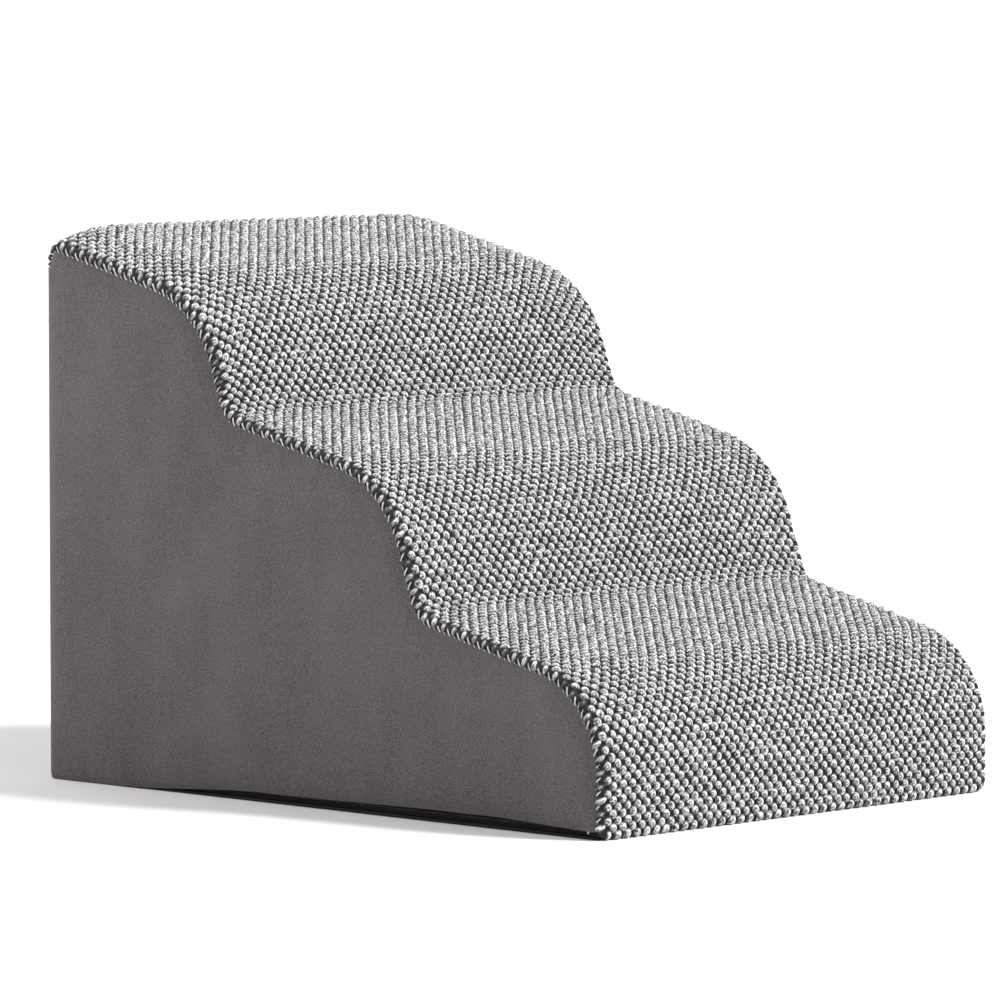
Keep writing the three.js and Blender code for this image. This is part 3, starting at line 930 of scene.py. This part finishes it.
zipPlan = {
    "coilX": 223.4,
    "coilBackY": 302.9,
    "coilStartY": -288.0,
    "cornerRadius": 7.0,
    "pitch": 1.25,
    "stepsPerTurn": 8,
    "wireSides": 4,
    "wire": 0.28,
    "halfDepth": 0.68,
    "halfHeight": 0.82,
    "lowZ": 5.3,
    "highZ": 8.1,
    "sliderBevel": 0.12,
    "pullBevel": 0.22,
}
zipLook = {
    "coilDark": (0.008, 0.008, 0.009, 1),
    "coilLight": (0.030, 0.030, 0.032, 1),
    "tapeDark": (0.005, 0.005, 0.006, 1),
    "tapeLight": (0.026, 0.026, 0.028, 1),
    "tabLight": (0.034, 0.033, 0.033, 1),
    "dust": (0.030, 0.029, 0.028, 1),
    "metalDark": (0.07, 0.07, 0.075, 1),
    "plate": (0.30, 0.30, 0.31, 1),
    "rubbed": (0.72, 0.71, 0.70, 1),
}


# Up the right side, round the back and down the left, with rounded corners
def zipPath(plan):
    x, y, r = plan["coilX"], plan["coilBackY"], plan["cornerRadius"]
    turn = np.linspace(0, math.pi / 2, 12)
    right = np.stack([x - r + r * np.cos(turn), y - r + r * np.sin(turn)], axis=1)
    left = np.stack([-x + r - r * np.sin(turn), y - r + r * np.cos(turn)], axis=1)
    start = np.array([[x, plan["coilStartY"]]])
    end = np.array([[-x, plan["coilStartY"]]])
    return np.concatenate([start, right, left, end])


# A wire wound round the path: centre line + depth x cos + height x sin, carried as a square tube
def coil(name, centreZ, nodeName, material, direction):
    plan = zipPlan
    path = zipPath(plan)
    lengths = lengthsAlong(path)
    turns = int(lengths[-1] / plan["pitch"])
    t = np.linspace(0, 1, turns * plan["stepsPerTurn"] + 1)
    at = t * lengths[-1]
    xy = np.stack([np.interp(at, lengths, path[:, k]) for k in (0, 1)], axis=1)
    run = np.gradient(xy, axis=0)
    run /= np.linalg.norm(run, axis=1, keepdims=True)
    outward = np.stack([run[:, 1], -run[:, 0]], axis=1)
    angle = 2 * math.pi * turns * t * direction
    offset = outward * (plan["halfDepth"] * np.cos(angle))[:, None]
    centre = np.column_stack([xy + offset, centreZ + plan["halfHeight"] * np.sin(angle)])
    forward = np.gradient(centre, axis=0)
    forward /= np.linalg.norm(forward, axis=1, keepdims=True)
    side = np.column_stack([outward * np.cos(angle)[:, None], np.sin(angle)])
    side -= forward * np.sum(side * forward, axis=1, keepdims=True)
    side /= np.linalg.norm(side, axis=1, keepdims=True)
    up = np.cross(forward, side)
    around = np.arange(plan["wireSides"]) * 2 * math.pi / plan["wireSides"]
    around = around[None, :, None]
    ring = side[:, None, :] * np.cos(around) + up[:, None, :] * np.sin(around)
    points = (centre[:, None, :] + ring * plan["wire"]).reshape(-1, 3)
    count = len(centre)
    faces = gridFaces(count, plan["wireSides"], closed=True).tolist()
    faces.append(list(range(plan["wireSides"]))[::-1])
    faces.append(list(range((count - 1) * plan["wireSides"], count * plan["wireSides"])))
    piece = makePiece(name, points, faces, [material])
    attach(piece, bodyRamp)
    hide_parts(nodeName)


def makeCoilMaterial():
    material, tree, shader = startMaterial("coilNylon", 0.42, Specular_IOR_Level=0.5)
    grain = useGrain(tree, 2600.0, 60.0)
    color = mixColors(tree, grain.outputs["Clouds"], zipLook["coilDark"], zipLook["coilLight"])
    tree.links.new(color, shader.inputs["Base Color"])
    rough = remap(tree, grain.outputs["Fibres"], 0.3, 0.7, 0.34, 0.5)
    tree.links.new(rough, shader.inputs["Roughness"])
    return material


# Woven tape: threads along x + y and z, which suits both the sides and the back, and faint ribs
def makeTapeMaterial(name, light, ribs):
    material, tree, shader = startMaterial(name, 0.85, Specular_IOR_Level=0.2, Sheen_Weight=0.1)
    parts = addNode(tree, "ShaderNodeSeparateXYZ", {0: placeOf(tree)})
    lengthwise = mathNode(tree, "ADD", parts.outputs[0], parts.outputs[1])
    place = addNode(tree, "ShaderNodeCombineXYZ", {0: lengthwise, 1: parts.outputs[2]})
    weave = useGroup(tree, threads, {"Place": place.outputs[0], "Along": 6500.0, "Across": 7800.0})
    grain = useGrain(tree, 900.0, 18.0)
    rib = waveOf(tree, parts.outputs[2], ribs)
    shade = mathNode(tree, "MULTIPLY_ADD", rib, 0.18, weave.outputs["Height"])
    color = mixColors(tree, remap(tree, shade, 0, 1.2), zipLook["tapeDark"], light)
    dust = remap(tree, grain.outputs["Clouds"], 0.45, 0.8, 0, 0.5)
    color = mixColors(tree, dust, color, zipLook["dust"])
    tree.links.new(color, shader.inputs["Base Color"])
    bumpInto(tree, shader, shade, 0.0002)
    return material


def makeMetalMaterial():
    material, tree, shader = startMaterial("darkZipMetal", 0.3, Metallic=1.0)
    grain = useGrain(tree, 5200.0, 420.0)
    # the plating is rubbed pale along the edges, which a pointiness mask finds
    edges = remap(tree, addNode(tree, "ShaderNodeNewGeometry").outputs["Pointiness"], 0.5, 0.62)
    rubbed = mathNode(tree, "MULTIPLY", edges, remap(tree, grain.outputs["Clouds"], 0.25, 0.6))
    color = mixColors(tree, grain.outputs["Clouds"], zipLook["metalDark"], zipLook["plate"])
    color = mixColors(tree, rubbed, color, zipLook["rubbed"])
    tree.links.new(color, shader.inputs["Base Color"])
    rough = remap(tree, grain.outputs["Fibres"], 0.3, 0.75, 0.2, 0.44)
    tree.links.new(rough, shader.inputs["Roughness"])
    bumpInto(tree, shader, grain.outputs["Fibres"], 0.00003)
    return material


# A merged copy of a node's mesh with its edges rounded
def bevelledCopy(name, nodeName, body, material, width):
    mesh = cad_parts[nodeName].data.copy()
    mesh.name = name
    piece = bpy.data.objects.new(name, mesh)
    bpy.context.scene.collection.objects.link(piece)
    work = bmesh.new()
    work.from_mesh(mesh)
    bmesh.ops.remove_doubles(work, verts=work.verts, dist=1e-6)
    bmesh.ops.dissolve_limit(work, angle_limit=math.radians(1), verts=work.verts, edges=work.edges)
    work.to_mesh(mesh)
    work.free()
    mesh.materials.clear()
    mesh.materials.append(material)
    bevel = piece.modifiers.new("softEdges", "BEVEL")
    bevel.width = width * mm
    bevel.segments = 2
    bevel.limit_method = "ANGLE"
    mesh.shade_smooth()
    piece.modifiers.new("flatNormals", "WEIGHTED_NORMAL")
    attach(piece, body)
    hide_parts(nodeName)


# Nodes whose shape is right keep it and get a material of their own
def paintNode(nodeName, material):
    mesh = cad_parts[nodeName].data
    mesh.materials.clear()
    mesh.materials.append(material)


def makeZip():
    nylon = makeCoilMaterial()
    coil("lowerCoil", zipPlan["lowZ"], "zip_coil_lower", nylon, 1)
    coil("upperCoil", zipPlan["highZ"], "zip_coil_upper", nylon, -1)
    tape = makeTapeMaterial("zipTapeCloth", zipLook["tapeLight"], 3600.0)
    tab = makeTapeMaterial("zipTabCloth", zipLook["tabLight"], 2400.0)
    metal = makeMetalMaterial()
    for nodeName in ("zip_tape_lower", "zip_tape_upper"):
        paintNode(nodeName, tape)
    for nodeName in ("zip_end_tab_left", "zip_end_tab_right"):
        paintNode(nodeName, tab)
    for nodeName in ("zip_stop_left", "zip_stop_right"):
        paintNode(nodeName, metal)
    bevelledCopy("zipSlider", "zip_slider_body", "zip_slider", metal, zipPlan["sliderBevel"])
    bevelledCopy("zipPull", "zip_pull", "zip_pull_tab", metal, zipPlan["pullBevel"])
    print("zip made")


makeZip()


foamLook = {
    "firm": (420.0, (0.62, 0.60, 0.52, 1), (0.42, 0.40, 0.33, 1)),  # cells per metre, pale, deep
    "soft": (620.0, (0.80, 0.79, 0.76, 1), (0.58, 0.57, 0.54, 1)),
    "cellBump": 0.0012,
}


def makeFoamMaterial(name, cells, pale, deep):
    material, tree, shader = startMaterial(name, 0.95, Specular_IOR_Level=0.1)
    cell = addNode(tree, "ShaderNodeTexVoronoi", {"Vector": placeOf(tree), "Scale": cells})
    grain = useGrain(tree, cells * 0.6, 6.0)
    color = mixColors(tree, remap(tree, cell.outputs["Distance"], 0.05, 0.6), pale, deep)
    color = mixColors(tree, remap(tree, grain.outputs["Clouds"], 0.3, 0.8, 0, 0.4), color, deep)
    tree.links.new(color, shader.inputs["Base Color"])
    bumpInto(tree, shader, cell.outputs["Distance"], foamLook["cellBump"])
    return material


def makeFoam():
    firm = makeFoamMaterial("firmFoam", *foamLook["firm"])
    soft = makeFoamMaterial("softFoam", *foamLook["soft"])
    for nodeName in ("core_slab_low", "core_slab_middle", "core_slab_high"):
        paintNode(nodeName, firm)
    paintNode("comfort_layer", soft)
    print("foam painted")


makeFoam()


floorPlan = {
    "radii": (1e3, 6e3, 3e4, 2.5e5),
    "sides": 96,
    "dark": (0.86, 0.86, 0.86, 1),
    "light": (0.88, 0.88, 0.88, 1),
}


# A wide disc at height zero
def makeFloor():
    material, tree, shader = startMaterial("studioFloor", 0.8, Specular_IOR_Level=0.1)
    grain = useGrain(tree, 60.0, 0.8)
    color = mixColors(tree, grain.outputs["Clouds"], floorPlan["dark"], floorPlan["light"])
    tree.links.new(color, shader.inputs["Base Color"])
    sides, radii = floorPlan["sides"], floorPlan["radii"]
    turn = np.arange(sides) * 2 * math.pi / sides
    circle = np.stack([np.cos(turn), np.sin(turn), np.zeros(sides)], axis=1)
    rings = [circle * radius for radius in radii]
    faces = gridFaces(len(radii), sides, closed=True, flipped=True).tolist()
    faces.append(list(range(sides)))
    floor = makePiece("studioFloor", np.concatenate(rings), faces, [material])
    print("floor made")


makeFloor()
